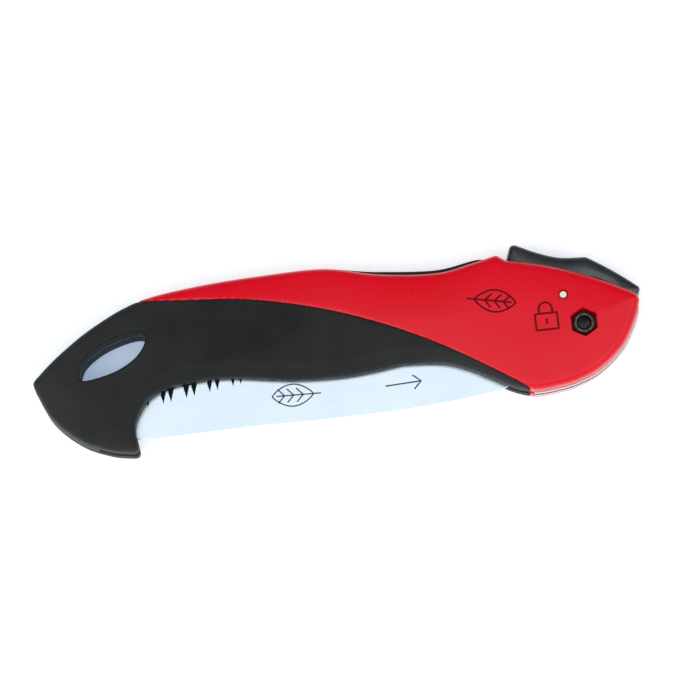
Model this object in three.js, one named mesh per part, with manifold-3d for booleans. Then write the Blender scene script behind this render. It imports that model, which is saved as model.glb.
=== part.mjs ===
// Folding pruning saw, lying on its back side with the blade folded into the handle.
//
// Two red moulded shells are held apart by a black spine frame, so that the blade has a slot to fold into. Each
// shell carries a black rubber grip that wraps its lower edge and forms half of the hooked tail. The blade turns on
// a bush round the pivot bolt, between two washers and two steel liners. A sprung lever on its own pin drops a pawl
// into a notch in the blade's heel when the blade is open.
//
// Units are millimetres. Outlines are drawn from the pivot axis: +X towards the head of the handle, +Y towards its
// top edge, +Z from the back side (z = 0) to the front. At the end the group is moved so that the part's origin is
// under the middle of the saw.

import * as THREE from "three";
import { mergeVertices } from "three/addons/utils/BufferGeometryUtils.js";
import Module from "manifold-3d";

const wasm = await Module();
wasm.setup();

// ---------------------------------------------------------------- driving dimensions

const THICKNESS = 20; // whole handle, front to back
const SLOT = [8.5, 11.5]; // the gap between the shells, filled by the spine frame along the top
const BLADE = [9.25, 10.75];
const LINER_BACK = [7.25, 8.75];
const LINER_FRONT = [11.25, 12.75];
const CORE_TOP = 17; // shells are this high under the rubber, measured from the far side
const RUBBER_WALL = 2.6; // rubber round the edge of a shell
const GAP = 0.15; // between moulded pieces that are cut to each other
const EDGE_ROUND = { across: 1.5, deep: 3 }; // rounding of the handle's outer edges

const PIVOT_IN_PART = [88.672, -6.942]; // the pivot axis in the part's own frame
const LEVER_PIN = [-5.9, 11.2];
const LEVER_Z = [5, 15];
const LEVER_POCKET_Z = [4.75, 15.25];

const BUSH_RADIUS = 3.5;
const BOLT_RADIUS = 2.5;
const PIN_RADIUS = 1.2;
const PIN_RECESS = { radius: 1.8, depth: 1.6 }; // round each end of the lever's pin
const DOWEL_RADIUS = 1.5;
const DOWELS = [
  [-44.5, 20],
  [-94.5, 22.5],
  [-141.5, 20],
  [-189.5, 2.5],
];

const HEEL_RADIUS = 9; // round part of the blade's heel
const LOCK_TOOTH_RADIUS = 14.8; // top of the heel's locking tooth
const NOTCH_RADIUS = 13.2; // bottom of the notch that the pawl drops into
const PAWL_RADIUS = 15.15; // underside of the pawl while the lever is lifted
const RECESS_RADIUS = 16.6; // underside of the lever over the locking tooth
const TOOTH_PITCH = 2.88;
const TOOTH_COUNT = 50;
const GULLET_DEEP = 5.1;
const GULLET_SHALLOW = 0.5; // every third gullet
const GULLET_LEAN = 1; // the teeth are raked towards the handle by this much over a deep gullet
const TIP_RADIUS = 180.5; // the frame stays outside this circle round the pivot

const CURVE_STEPS = 3;
const ROUND_STEPS = 28;

// ---------------------------------------------------------------- materials

const material = (color, roughness, metalness) => new THREE.MeshStandardMaterial({ color, roughness, metalness });
const RED_NYLON = material(0xd4121f, 0.38, 0);
const BLACK_RUBBER = material(0x262724, 0.8, 0);
const BLACK_NYLON = material(0x1c1d1c, 0.5, 0);
const GLOSS_BLACK = material(0x16181b, 0.2, 0);
const BLADE_STEEL = material(0xd6dde6, 0.18, 1);
const BRIGHT_STEEL = material(0xc8c8c4, 0.25, 1);
const BLACK_STEEL = material(0x2a2a28, 0.4, 0.8);
const BRONZE = material(0xa9824a, 0.35, 1);
const DARK_NYLON = material(0x3a3a36, 0.5, 0);

// ---------------------------------------------------------------- solids and meshes

// A closed three.js geometry as a solid that can be cut and joined.
function solid(geometry) {
  const bare = geometry.index ? geometry.toNonIndexed() : geometry.clone();
  bare.deleteAttribute("normal");
  bare.deleteAttribute("uv");
  const merged = mergeVertices(bare, 1e-4);
  const vertProperties = merged.attributes.position.array;
  const triVerts = new Uint32Array(merged.index.array);
  return new wasm.Manifold(new wasm.Mesh({ numProp: 3, vertProperties, triVerts }));
}

function mesh(name, body, look) {
  const { vertProperties, triVerts } = body.getMesh();
  const geometry = new THREE.BufferGeometry();
  geometry.setAttribute("position", new THREE.BufferAttribute(new Float32Array(vertProperties), 3));
  geometry.setIndex(new THREE.BufferAttribute(new Uint32Array(triVerts), 1));
  geometry.computeVertexNormals();
  const made = new THREE.Mesh(geometry, look);
  made.name = name;
  return made;
}

const joined = (bodies) => bodies.reduce((a, b) => a.add(b));
const cutBy = (body, cutters) => cutters.reduce((a, b) => a.subtract(b), body);
const vectors = (points) => points.map(([x, y]) => new THREE.Vector2(x, y));

// A flat outline made solid between two heights. edge rounds both of its ends.
function prism(shape, [low, high], edge = null) {
  const settings = { depth: high - low, curveSegments: CURVE_STEPS, bevelEnabled: false };
  let base = low;
  if (edge) {
    settings.bevelEnabled = true;
    settings.bevelSize = edge.across;
    settings.bevelOffset = -edge.across;
    settings.bevelThickness = edge.deep;
    settings.bevelSegments = 2;
    settings.depth -= 2 * edge.deep;
    base += edge.deep;
  }
  return solid(new THREE.ExtrudeGeometry(shape, settings).translate(0, 0, base));
}

// A round bar along Z.
function bar([x, y], radius, [low, high], steps = ROUND_STEPS) {
  const geometry = new THREE.CylinderGeometry(radius, radius, high - low, steps);
  return solid(geometry.rotateX(Math.PI / 2).translate(x, y, (low + high) / 2));
}

function ring(centre, outer, inner, [low, high]) {
  return bar(centre, outer, [low, high]).subtract(bar(centre, inner, [low - 1, high + 1]));
}

// A six-sided bar along Z, turned by some degrees from having two corners towards +Y and -Y.
function hexBar(acrossFlats, [low, high], turn = 0) {
  const radius = acrossFlats / Math.sqrt(3);
  const geometry = new THREE.CylinderGeometry(radius, radius, high - low, 6).rotateX(Math.PI / 2);
  return solid(geometry.rotateZ(THREE.MathUtils.degToRad(turn)).translate(0, 0, (low + high) / 2));
}

function slab([low, high]) {
  const size = 600;
  return solid(new THREE.BoxGeometry(size, size, high - low).translate(0, 0, (low + high) / 2));
}

const polar = (radius, degrees) => {
  const angle = THREE.MathUtils.degToRad(degrees);
  return [radius * Math.cos(angle), radius * Math.sin(angle)];
};

// A closed outline moved inwards (or outwards, for a negative distance), without the points that would cross over.
function inset(shape, distance) {
  const points = shape.getPoints(CURVE_STEPS);
  if (points[0].distanceTo(points[points.length - 1]) < 1e-6) points.pop();
  if (THREE.ShapeUtils.isClockWise(points)) points.reverse();
  const after = (i) => points[(i + 1) % points.length];
  const before = (i) => points[(i + points.length - 1) % points.length];
  const moved = points.map((point, i) => {
    const arriving = point.clone().sub(before(i)).normalize();
    const leaving = after(i).clone().sub(point).normalize();
    const along = arriving.clone().add(leaving).normalize();
    const reach = distance / along.dot(leaving);
    return new THREE.Vector2(point.x - along.y * reach, point.y + along.x * reach);
  });
  const nearest = new THREE.Vector3();
  const flat = ({ x, y }) => new THREE.Vector3(x, y, 0);
  const isClear = (spot) =>
    points.every((point, i) => {
      const edge = new THREE.Line3(flat(point), flat(after(i)));
      edge.closestPointToPoint(flat(spot), true, nearest);
      return Math.hypot(nearest.x - spot.x, nearest.y - spot.y) > Math.abs(distance) - 1e-3;
    });
  return new THREE.Shape(moved.filter(isClear));
}

// ---------------------------------------------------------------- outlines of the handle

// The top edge from the tail to the shoulder in front of the lever.
const TOP_EDGE = [
  [-189.5, 17.2],
  [-175.4, 25.9],
  [-157.5, 33],
  [-135.5, 35.3],
  [-111.5, 35.5],
  [-89.5, 34.5],
  [-70.5, 29.5],
  [-50, 26.7],
  [-36.5, 28.3],
  [-28.8, 29.7],
];

function handleOutline() {
  const s = new THREE.Shape();
  s.moveTo(-199, 6.6);
  s.quadraticCurveTo(-199.9, 8.8, -198.5, 10); // tip of the tail
  s.splineThru(vectors(TOP_EDGE));
  s.quadraticCurveTo(-27.3, 30, -26.4, 29.1); // shoulder in front of the lever
  s.lineTo(-24.4, 27.5);
  s.splineThru(vectors([[-20.5, 26.4], [-11.5, 23.8], [-1.5, 19.9], [8.5, 15.2], [17.9, 9.8]]));
  s.quadraticCurveTo(21.4, 7.8, 21, 5.4); // corner under the lever's nose
  s.splineThru(vectors([[18.5, -0.9], [12.5, -9.9], [3.3, -16.9], [-6.2, -20.3], [-14.5, -21.3]]));
  s.splineThru(
    vectors([[-21, -21.3], [-28.2, -18.8], [-36.5, -13.8], [-44.5, -9.1], [-53.5, -5.8], [-66.5, -4.2]]),
  );
  s.splineThru(
    vectors([[-85.5, -5.4], [-105.5, -3.9], [-130.5, 0.6], [-148.5, 0.6], [-158.1, -2.3], [-163.1, -7.8]]),
  );
  s.quadraticCurveTo(-165.4, -11.4, -165.3, -15);
  s.lineTo(-165, -18.8);
  s.quadraticCurveTo(-164.4, -22, -167.4, -21.6); // tip of the hook
  s.splineThru(vectors([[-175.4, -19.6], [-185.2, -14.5], [-194.1, -5.2], [-199, 6.6]]));
  return s;
}

// The hole through the tail, a slanting lens. grow widens it.
function hangHole(grow = 0) {
  const lens = [
    [-182.6, 9.2],
    [-180.1, 14.2],
    [-173.3, 18.6],
    [-164.4, 21.3],
    [-158.1, 21.4],
    [-157.1, 17.6],
    [-161.2, 12.2],
    [-168.4, 8.4],
    [-176.5, 6.6],
    [-181.6, 6.6],
  ];
  const curve = new THREE.CatmullRomCurve3(lens.map(([x, y]) => new THREE.Vector3(x, y, 0)), true);
  const points = curve.getPoints(lens.length * 4).slice(1);
  const shape = new THREE.Shape(points.map(({ x, y }) => new THREE.Vector2(x, y)));
  return grow ? inset(shape, -grow) : shape;
}

// Everything below the line where red plastic meets black rubber.
function rubberSide(drop = 0) {
  const s = new THREE.Shape();
  const line = [
    [-149.5, 31.3],
    [-126.5, 28.3],
    [-113.5, 25.7],
    [-101, 22.2],
    [-88.5, 17.9],
    [-76, 12.6],
    [-63.5, 6.4],
    [-47.5, -3],
    [-31.5, -14.1],
    [-15.5, -25.9],
  ];
  s.moveTo(-169.5, 34.6 - drop);
  s.splineThru(vectors(line.map(([x, y]) => [x, y - drop])));
  s.lineTo(-15.5, -60);
  s.lineTo(-240, -60);
  s.lineTo(-240, 34.6 - drop);
  s.closePath();
  return s;
}

// Where the shells are hollowed for the lever, its spring and the pawl.
function leverPocket() {
  const s = new THREE.Shape();
  s.moveTo(-28, 60);
  s.lineTo(-28, 17);
  s.lineTo(-22.4, 17);
  s.lineTo(-22.4, 13.5); // seat of the spring
  s.lineTo(-11.5, 13.5);
  s.lineTo(-11.5, 7.5);
  s.lineTo(9.6, 7.5);
  s.quadraticCurveTo(10.2, 2.6, 13, 2.4);
  s.lineTo(40, 2.4);
  s.lineTo(40, 60);
  s.closePath();
  return s;
}

// The part of the slot that the blade folds into and swings out of.
function bladeSlot() {
  const s = new THREE.Shape();
  s.moveTo(-12.5, 60);
  s.lineTo(-12.5, 8.25);
  s.lineTo(-22.8, 8.25); // the blade's heel rests against this face when it is folded
  s.lineTo(-28.6, 15.3);
  s.lineTo(-176, 0.8);
  s.quadraticCurveTo(-180.4, 0.2, -TIP_RADIUS, -4);
  s.absarc(0, 0, TIP_RADIUS, Math.PI * 1.01, Math.PI * 1.2, false);
  s.lineTo(60, -120);
  s.lineTo(60, 60);
  s.closePath();
  return s;
}

const outline = handleOutline();
const pocket = prism(leverPocket(), LEVER_POCKET_Z);
const hole = prism(hangHole(), [-1, THICKNESS + 1]);
const blank = prism(outline, [0, THICKNESS], EDGE_ROUND).subtract(hole);

// The groove along the top edge, and the rubber strip that fills it.
const STRIP_Z = [4.4, 15.6];
const STRIP_DEPTH = 1.6;
const STRIP_ENDS = [-161, -30];
const stripRise = (x) => 0.15 + 1.7 * Math.exp(-(((x + 54) / 26) ** 4)); // it stands proud at the waist

function topStrip(slack = 0) {
  const curve = new THREE.SplineCurve(vectors(TOP_EDGE));
  const edge = curve.getPoints(48).filter((p) => p.x > STRIP_ENDS[0] && p.x < STRIP_ENDS[1]);
  edge[0].x -= slack;
  edge[edge.length - 1].x += slack;
  const upper = edge.map((p) => new THREE.Vector2(p.x, p.y + stripRise(p.x)));
  const lower = edge.map((p) => new THREE.Vector2(p.x, p.y - STRIP_DEPTH - slack));
  return new THREE.Shape([...lower, ...upper.reverse()]);
}
const stripGroove = prism(topStrip(GAP), STRIP_Z);

// ---------------------------------------------------------------- shells, grips and frame

// A shell is drawn for the front side, from the slot to the outer face; the back one is its mirror image.
const FRONT = [SLOT[1], THICKNESS];
const mirrored = (body) => body.mirror([0, 0, 1]).translate([0, 0, THICKNESS]);

function shellFront() {
  const red = blank.intersect(slab(FRONT)).subtract(prism(rubberSide(), [0, THICKNESS + 1]));
  const holeWall = prism(hangHole(RUBBER_WALL), [0, THICKNESS]);
  const core = prism(inset(outline, RUBBER_WALL), [FRONT[0], CORE_TOP]).subtract(holeWall);
  const dowelHoles = DOWELS.map((at) => bar(at, DOWEL_RADIUS + 0.05, [FRONT[0] - 1, 16.2], 20));
  return cutBy(red.add(core), [pocket, linerSeat(), stripGroove, ...dowelHoles]);
}

function gripFront(ledge = null) {
  const rubber = blank.intersect(slab(FRONT)).intersect(prism(rubberSide(GAP), [0, THICKNESS + 1]));
  const holeWall = prism(hangHole(RUBBER_WALL - GAP), [0, THICKNESS]);
  const core = prism(inset(outline, RUBBER_WALL - GAP), [0, CORE_TOP]).subtract(holeWall);
  const whole = ledge ? rubber.add(ledge) : rubber;
  return cutBy(whole, [core, prism(linerRegion(GAP), [0, LINER_FRONT[1] + GAP]), stripGroove]);
}

// The lower edge of the back grip reaches further down behind the toothed end of the folded blade.
function gripLedge() {
  const s = new THREE.Shape();
  s.moveTo(-160, 1);
  s.lineTo(-163.6, -10.6);
  s.splineThru(vectors([[-159.5, -6.8], [-152, -4.9], [-142, -3.7], [-130, -2.6], [-116, -2.9]]));
  s.lineTo(-116, 0.6);
  s.lineTo(-131, 3);
  s.lineTo(-148, 2);
  s.closePath();
  return prism(s, [FRONT[0], FRONT[0] + 4]);
}

function spineFrame() {
  const layer = blank.intersect(slab(SLOT)).subtract(prism(bladeSlot(), [0, THICKNESS]));
  const finger = pocket.intersect(slab(SLOT));
  const dowelHoles = DOWELS.map((at) => bar(at, DOWEL_RADIUS + 0.05, [0, THICKNESS], 20));
  return cutBy(layer, [finger, stripGroove, ...dowelHoles]);
}

// ---------------------------------------------------------------- liners

const LINER_PROUD = 0.4; // the liners stand this far out of the head's edge

// The head of the handle, as far back as the liners reach, and inside the rubber at the bottom.
function linerRegion(grow = 0) {
  const s = new THREE.Shape();
  s.moveTo(40, 40);
  s.lineTo(-36 - grow, 40);
  s.lineTo(-38 - grow, 0);
  s.splineThru(vectors([[-35 - grow, -8.6 - grow], [-28 - grow, -13.8 - grow], [-21.6 - grow, -17.4 - grow]]));
  s.lineTo(-20.6 - grow, -40);
  s.lineTo(40, -40);
  s.closePath();
  return s;
}

function linerPlate(span) {
  const head = prism(inset(outline, -LINER_PROUD), span).intersect(prism(linerRegion(), span));
  const spineClear = prism(linerTopClear(), [0, THICKNESS]);
  return cutBy(head, [pocket, spineClear, bar([0, 0], BUSH_RADIUS + 0.05, [0, THICKNESS])]);
}

// Keeps the liners below the lever pocket and clear of the frame.
function linerTopClear() {
  const s = new THREE.Shape();
  s.moveTo(-60, 60);
  s.lineTo(-60, 6);
  s.lineTo(-26, 7.9);
  s.lineTo(-12, 7.9);
  s.lineTo(-12, 60);
  s.closePath();
  return s;
}

// The recess for a liner in the front shell.
function linerSeat() {
  const grown = prism(linerRegion(), [0, LINER_FRONT[1]]);
  return grown.subtract(prism(linerTopClear(), [0, THICKNESS]));
}

// ---------------------------------------------------------------- blade

// Drawn open, pointing to +X with its teeth down; it is turned half a turn to fold it.
const TOOTH_LINE = { start: [34.6, -12.4], end: [177.9, 1.4] };

function bladeOutline() {
  const s = new THREE.Shape();
  const [sx, sy] = TOOTH_LINE.start;
  const slope = Math.atan2(TOOTH_LINE.end[1] - sy, TOOTH_LINE.end[0] - sx);
  const deg = THREE.MathUtils.degToRad;
  const toothEdge = (along, deep) => {
    s.lineTo(
      sx + along * Math.cos(slope) - deep * Math.sin(slope),
      sy + along * Math.sin(slope) + deep * Math.cos(slope),
    );
  };
  s.moveTo(...polar(HEEL_RADIUS, -56));
  s.lineTo(22.6, -7.9);
  s.splineThru(vectors([[26, -8.6], [30, -10.8], [sx, sy]]));
  for (let i = 0; i < TOOTH_COUNT; i++) {
    const depth = i % 3 === 0 ? GULLET_SHALLOW : GULLET_DEEP;
    toothEdge((i + 0.5) * TOOTH_PITCH + (GULLET_LEAN * depth) / GULLET_DEEP, depth);
    toothEdge((i + 1) * TOOTH_PITCH, 0);
  }
  s.quadraticCurveTo(179.5, 9.6, 171, 13.7); // nose
  s.quadraticCurveTo(166, 16.3, 158, 16.8);
  s.splineThru(vectors([[125, 17.7], [98, 19.1], [72, 19.9], [50, 19.5], [33, 18.3]])); // bowed back
  s.splineThru(vectors([[26.7, 15.2], [23.1, 10.3], [22.5, 6.9]])); // shoulder in front of the lever's nose
  s.quadraticCurveTo(21.9, 3.2, 19.4, 3.2);
  s.lineTo(...polar(NOTCH_RADIUS, 14));
  s.absarc(0, 0, NOTCH_RADIUS, deg(14), deg(40), false);
  s.lineTo(...polar(LOCK_TOOTH_RADIUS, 46.4));
  s.absarc(0, 0, LOCK_TOOTH_RADIUS, deg(46.4), deg(64), false);
  s.lineTo(...polar(HEEL_RADIUS, 68));
  s.absarc(0, 0, HEEL_RADIUS, deg(68), deg(304), false);
  return s;
}

function bladeBody() {
  return prism(bladeOutline(), BLADE).subtract(bar([0, 0], BUSH_RADIUS + 0.05, [0, THICKNESS]));
}

// ---------------------------------------------------------------- lock lever, spring and pin

function leverOutline() {
  const s = new THREE.Shape();
  const deg = THREE.MathUtils.degToRad;
  const hubRadius = 3.1;
  s.moveTo(-25, 21);
  s.lineTo(-14.6, 19.8); // the spring pushes here
  s.quadraticCurveTo(-10, 18.4, LEVER_PIN[0] - hubRadius, LEVER_PIN[1]);
  s.absarc(...LEVER_PIN, hubRadius, deg(180), deg(330), false);
  s.lineTo(1.4, 15.4);
  s.quadraticCurveTo(3.4, 16.6, ...polar(RECESS_RADIUS, 66));
  s.absarc(0, 0, RECESS_RADIUS, deg(66), deg(47), true); // clears the heel's locking tooth
  s.lineTo(...polar(PAWL_RADIUS, 44.9));
  s.absarc(0, 0, PAWL_RADIUS, deg(44.9), deg(23), true); // foot of the pawl
  s.quadraticCurveTo(16.6, 7.6, 20.5, 7.5);
  s.lineTo(22, 10.1);
  s.lineTo(21.8, 11.2);
  s.quadraticCurveTo(14, 18.6, 5.4, 24.5); // front slope
  s.quadraticCurveTo(4.4, 25.2, 3, 25.2);
  s.splineThru(vectors([[-5, 26.3], [-12.6, 29.3], [-19.4, 33]])); // thumb rest
  s.quadraticCurveTo(-21.6, 34, -22.5, 32.2);
  s.lineTo(-25.2, 25.6);
  s.closePath();
  return s;
}

function lever() {
  const body = prism(leverOutline(), LEVER_Z, { across: 0.5, deep: 0.6 });
  return body.subtract(bar(LEVER_PIN, PIN_RADIUS + 0.1, [0, THICKNESS]));
}

// A compression spring standing on the frame under the thumb rest.
const SPRING = { x: -18.5, low: 13.75, high: 20, radius: 2.1, wire: 0.32, turns: 5 };

class SpringCurve extends THREE.Curve {
  getPoint(t) {
    const angle = t * SPRING.turns * 2 * Math.PI;
    const rise = SPRING.high - SPRING.low - 2 * SPRING.wire;
    return new THREE.Vector3(
      SPRING.x + SPRING.radius * Math.cos(angle),
      SPRING.low + SPRING.wire + rise * t,
      THICKNESS / 2 + SPRING.radius * Math.sin(angle),
    );
  }
}

function spring() {
  const sides = 5;
  const section = new THREE.Shape(
    Array.from({ length: sides }, (_, i) => new THREE.Vector2(...polar(SPRING.wire, (360 / sides) * i))),
  );
  const steps = SPRING.turns * 10;
  return solid(new THREE.ExtrudeGeometry(section, { extrudePath: new SpringCurve(), steps, curveSegments: 1 }));
}

// ---------------------------------------------------------------- pivot hardware

const NUT = { flats: 8, low: 14.2, hexTop: 18, top: 19, turn: -2 };
const BOLT_HEAD = { radius: 4.75, low: 0.5, high: 3.2, socket: 3 };
const WASHER_Z = [3.2, 4.2];

const nutRecess = hexBar(NUT.flats + 1.3, [NUT.low - 0.05, THICKNESS + 1], NUT.turn);
const boltRecess = bar([0, 0], 5.4, [-1, WASHER_Z[1]]);
const boltBore = bar([0, 0], BOLT_RADIUS + 0.1, [-1, THICKNESS + 1]);
const pinBores = joined([
  bar(LEVER_PIN, PIN_RADIUS + 0.05, [-1, THICKNESS + 1], 20),
  bar(LEVER_PIN, PIN_RECESS.radius, [THICKNESS - PIN_RECESS.depth, THICKNESS + 1], 20),
  bar(LEVER_PIN, PIN_RECESS.radius, [-1, PIN_RECESS.depth], 20),
]);

function bolt() {
  const head = bar([0, 0], BOLT_HEAD.radius, [BOLT_HEAD.low, BOLT_HEAD.high]);
  const socket = hexBar(BOLT_HEAD.socket, [0, 2.2]);
  const shank = bar([0, 0], BOLT_RADIUS, [BOLT_HEAD.high - 0.2, 19.2]);
  return head.subtract(socket).add(shank);
}

function nut() {
  const collar = bar([0, 0], 3.85, [NUT.hexTop - 0.2, NUT.top]);
  const bores = [bar([0, 0], BOLT_RADIUS + 0.05, [0, THICKNESS]), bar([0, 0], 3.3, [NUT.hexTop, THICKNESS])];
  return cutBy(hexBar(NUT.flats, [NUT.low, NUT.hexTop], NUT.turn).add(collar), bores);
}

// ---------------------------------------------------------------- the saw

const shell = shellFront();
const washerRing = (span) => ring([0, 0], 7.4, BUSH_RADIUS + 0.05, span);

const parts = [
  mesh("handle_shell_front", cutBy(shell, [nutRecess, boltBore, pinBores]), RED_NYLON),
  mesh("handle_shell_back", cutBy(mirrored(shell), [boltRecess, boltBore, pinBores]), RED_NYLON),
  mesh("grip_front", gripFront(), BLACK_RUBBER),
  mesh("grip_back", mirrored(gripFront(gripLedge())), BLACK_RUBBER),
  mesh("spine_frame", spineFrame(), BLACK_NYLON),
  mesh("top_grip_strip", prism(topStrip(), [STRIP_Z[0] + GAP, STRIP_Z[1] - GAP]), BLACK_RUBBER),
  mesh("liner_front", linerPlate(LINER_FRONT), BRIGHT_STEEL),
  mesh("liner_back", linerPlate(LINER_BACK), BRIGHT_STEEL),
  mesh("lock_lever", lever(), GLOSS_BLACK),
  mesh("lever_pin", bar(LEVER_PIN, PIN_RADIUS, [0.9, 19.1], 20), BRIGHT_STEEL),
  mesh("lever_spring", spring(), BRIGHT_STEEL),
  mesh("pivot_bolt", bolt(), BLACK_STEEL),
  mesh("pivot_nut", nut(), BLACK_STEEL),
  mesh("nut_locking_ring", ring([0, 0], 3.25, BOLT_RADIUS + 0.05, [NUT.hexTop, NUT.top - 0.15]), DARK_NYLON),
  mesh("bolt_washer", ring([0, 0], 5, BOLT_RADIUS + 0.1, WASHER_Z), BLACK_STEEL),
  mesh("pivot_bush", ring([0, 0], BUSH_RADIUS, BOLT_RADIUS + 0.1, [LINER_BACK[0], LINER_FRONT[1]]), BRONZE),
  mesh("blade_washer_front", washerRing([BLADE[1] + 0.05, LINER_FRONT[0]]), BRONZE),
  mesh("blade_washer_back", washerRing([LINER_BACK[1], BLADE[0] - 0.05]), BRONZE),
  ...DOWELS.map((at, i) => mesh(`shell_dowel_${i + 1}`, bar(at, DOWEL_RADIUS, [4, 16], 20), BRIGHT_STEEL)),
];

const blade = mesh("blade", bladeBody(), BLADE_STEEL);
blade.rotation.z = Math.PI;

const saw = new THREE.Group();
saw.name = "folding_pruning_saw";
const drawn = new THREE.Group();
drawn.position.set(...PIVOT_IN_PART, 0);
drawn.add(...parts, blade);
saw.add(drawn);

export default saw;
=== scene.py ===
"""Looks of the folding pruning saw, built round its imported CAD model.

The moulded pieces, the lever and the pivot hardware are drawn as implicit shapes and meshed, so that their
faces are crowned and their edges soft. The blade is built tooth by tooth. Lengths are in millimetres, drawn
from the pivot axis: +X towards the head, +Y towards the back edge, z from 0 on the back side to 20 on the
front side.
"""

import math

import bpy
import numpy as np
from mathutils import Matrix, Vector


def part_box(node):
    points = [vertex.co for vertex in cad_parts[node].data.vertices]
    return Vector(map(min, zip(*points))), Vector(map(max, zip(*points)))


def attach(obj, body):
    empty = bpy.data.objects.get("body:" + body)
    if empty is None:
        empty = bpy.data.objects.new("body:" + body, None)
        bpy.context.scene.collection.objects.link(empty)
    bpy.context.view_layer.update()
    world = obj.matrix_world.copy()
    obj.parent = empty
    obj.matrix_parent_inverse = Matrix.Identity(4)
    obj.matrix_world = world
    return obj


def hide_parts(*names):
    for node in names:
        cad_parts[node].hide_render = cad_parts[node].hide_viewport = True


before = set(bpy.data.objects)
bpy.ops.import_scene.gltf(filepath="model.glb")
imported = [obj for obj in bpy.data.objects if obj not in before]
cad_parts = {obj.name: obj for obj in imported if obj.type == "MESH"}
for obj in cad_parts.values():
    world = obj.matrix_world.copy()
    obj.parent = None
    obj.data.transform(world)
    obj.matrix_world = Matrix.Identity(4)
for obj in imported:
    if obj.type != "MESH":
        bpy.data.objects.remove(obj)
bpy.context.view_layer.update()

MM = 0.001
bolt_low, bolt_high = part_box("pivot_bolt")
PIVOT = np.array([(bolt_low[0] + bolt_high[0]) / 2, (bolt_low[1] + bolt_high[1]) / 2, 0.0])
THICKNESS = 20.0
MIDDLE = THICKNESS / 2
SKIN = 0.04  # the drawn surfaces stay this far inside the solids


def placed(points):
    """Drawing points, in millimetres, in the part's own frame."""
    return np.asarray(points, float) * MM + PIVOT


# ---------------------------------------------------------------- outlines


class Outline:
    """A closed outline made of lines and curves, kept as closely spaced points."""

    def __init__(self, x, y):
        self.points = [(x, y)]

    def line(self, x, y):
        self.points.append((x, y))
        return self

    def quad(self, cx, cy, x, y, steps=10):
        x0, y0 = self.points[-1]
        for i in range(1, steps + 1):
            t = i / steps
            a, b, c = (1 - t) ** 2, 2 * t * (1 - t), t * t
            self.points.append((a * x0 + b * cx + c * x, a * y0 + b * cy + c * y))
        return self

    def spline(self, points, steps=9):
        self.points += spline([self.points[-1], *points], steps)[1:]
        return self

    def arc(self, radius, start, end, steps=16):
        for angle in np.radians(np.linspace(start, end, steps)):
            self.points.append((radius * math.cos(angle), radius * math.sin(angle)))
        return self

    def array(self):
        points = np.array(self.points)
        keep = np.linalg.norm(points - np.roll(points, 1, axis=0), axis=1) > 1e-6
        return points[keep]


def spline(points, steps):
    """Points along a uniform Catmull-Rom curve."""
    p = np.array([points[0], *points, points[-1]], float)
    found = [tuple(p[1])]
    for i in range(1, len(p) - 2):
        for t in np.arange(1, steps + 1) / steps:
            a, b, c, d = p[i - 1 : i + 3]
            cubic = (3 * b - a - 3 * c + d) * t**3
            cubic = cubic + (2 * a - 5 * b + 4 * c - d) * t**2 + (c - a) * t + 2 * b
            found.append(tuple(cubic / 2))
    return found


TOP_EDGE = [
    (-189.5, 17.2),
    (-175.4, 25.9),
    (-157.5, 33),
    (-135.5, 35.3),
    (-111.5, 35.5),
    (-89.5, 34.5),
    (-70.5, 29.5),
    (-50, 26.7),
    (-36.5, 28.3),
    (-28.8, 29.7),
]
PARTING = [
    (-149.5, 31.3),
    (-126.5, 28.3),
    (-113.5, 25.7),
    (-101, 22.2),
    (-88.5, 17.9),
    (-76, 12.6),
    (-63.5, 6.4),
    (-47.5, -3),
    (-31.5, -14.1),
    (-15.5, -25.9),
]
HOLE = [
    (-182.6, 9.2),
    (-180.1, 14.2),
    (-173.3, 18.6),
    (-164.4, 21.3),
    (-158.1, 21.4),
    (-157.1, 17.6),
    (-161.2, 12.2),
    (-168.4, 8.4),
    (-176.5, 6.6),
    (-181.6, 6.6),
]
LEVER_PIN = (-5.9, 11.2)


def handle_outline():
    o = Outline(-199, 6.6).quad(-199.9, 8.8, -198.5, 10).spline(TOP_EDGE)
    o.quad(-27.3, 30, -26.4, 29.1).line(-24.4, 27.5)
    o.spline([(-20.5, 26.4), (-11.5, 23.8), (-1.5, 19.9), (8.5, 15.2), (17.9, 9.8)])
    o.quad(21.4, 7.8, 21, 5.4)
    o.spline([(18.5, -0.9), (12.5, -9.9), (3.3, -16.9), (-6.2, -20.3), (-14.5, -21.3)])
    o.spline([(-21, -21.3), (-28.2, -18.8), (-36.5, -13.8), (-44.5, -9.1), (-53.5, -5.8), (-66.5, -4.2)])
    o.spline([(-85.5, -5.4), (-105.5, -3.9), (-130.5, 0.6), (-148.5, 0.6), (-158.1, -2.3), (-163.1, -7.8)])
    o.quad(-165.4, -11.4, -165.3, -15).line(-165, -18.8).quad(-164.4, -22, -167.4, -21.6)
    return o.spline([(-175.4, -19.6), (-185.2, -14.5), (-194.1, -5.2), (-199, 6.6)]).array()


def rubber_outline():
    o = Outline(-169.5, 34.6).spline(PARTING)
    return o.line(-15.5, -60).line(-240, -60).line(-240, 34.6).array()


def ledge_outline():
    o = Outline(-160, 1).line(-163.6, -10.6)
    o.spline([(-159.5, -6.8), (-152, -4.9), (-142, -3.7), (-130, -2.6), (-116, -2.9)])
    return o.line(-116, 0.6).line(-131, 3).line(-148, 2).array()


def hole_outline():
    return np.array(spline([HOLE[-1], *HOLE, HOLE[0], HOLE[1]], 9)[9:-10])


def pocket_outline():
    o = Outline(-28, 60).line(-28, 17).line(-22.4, 17).line(-22.4, 13.5).line(-11.5, 13.5)
    o.line(-11.5, 7.5).line(9.6, 7.5).quad(10.2, 2.6, 13, 2.4)
    return o.line(40, 2.4).line(40, 60).array()


def polar(radius, degrees):
    return radius * math.cos(math.radians(degrees)), radius * math.sin(math.radians(degrees))


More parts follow.
